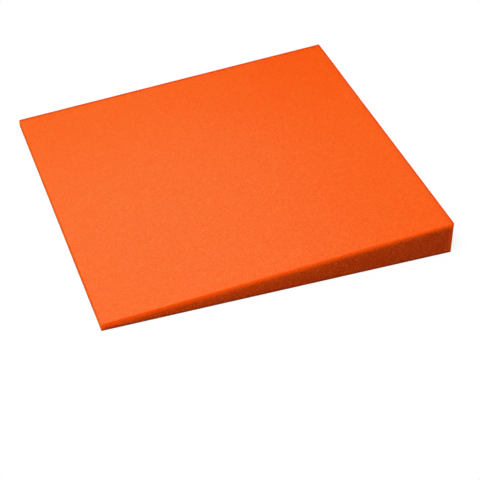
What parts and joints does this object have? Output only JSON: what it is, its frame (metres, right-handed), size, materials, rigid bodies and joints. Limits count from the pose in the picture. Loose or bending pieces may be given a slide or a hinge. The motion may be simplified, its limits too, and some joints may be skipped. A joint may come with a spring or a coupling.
{
  "type": "wedge acoustic panel",
  "caption": "Square foam panel whose flat face slopes from a thin edge to a thick edge, with a self-adhesive back under a peel-off liner.",
  "frame": {"origin": "centre of the back, on the release liner's outer face, which is what the panel lies on", "axes": "+X from the thin edge to the thick edge, +Y along both of those edges, +Z out of the back towards the sloping face"},
  "size_m": [0.5, 0.5, 0.051],
  "materials": {
    "open_cell_foam": "matte",
    "adhesive_film": "gloss",
    "release_paper": "satin"
  },
  "bodies": {
    "root": {"foam_wedge": "open_cell_foam", "adhesive_film": "adhesive_film", "release_liner": "release_paper"}
  },
  "joints": []
}
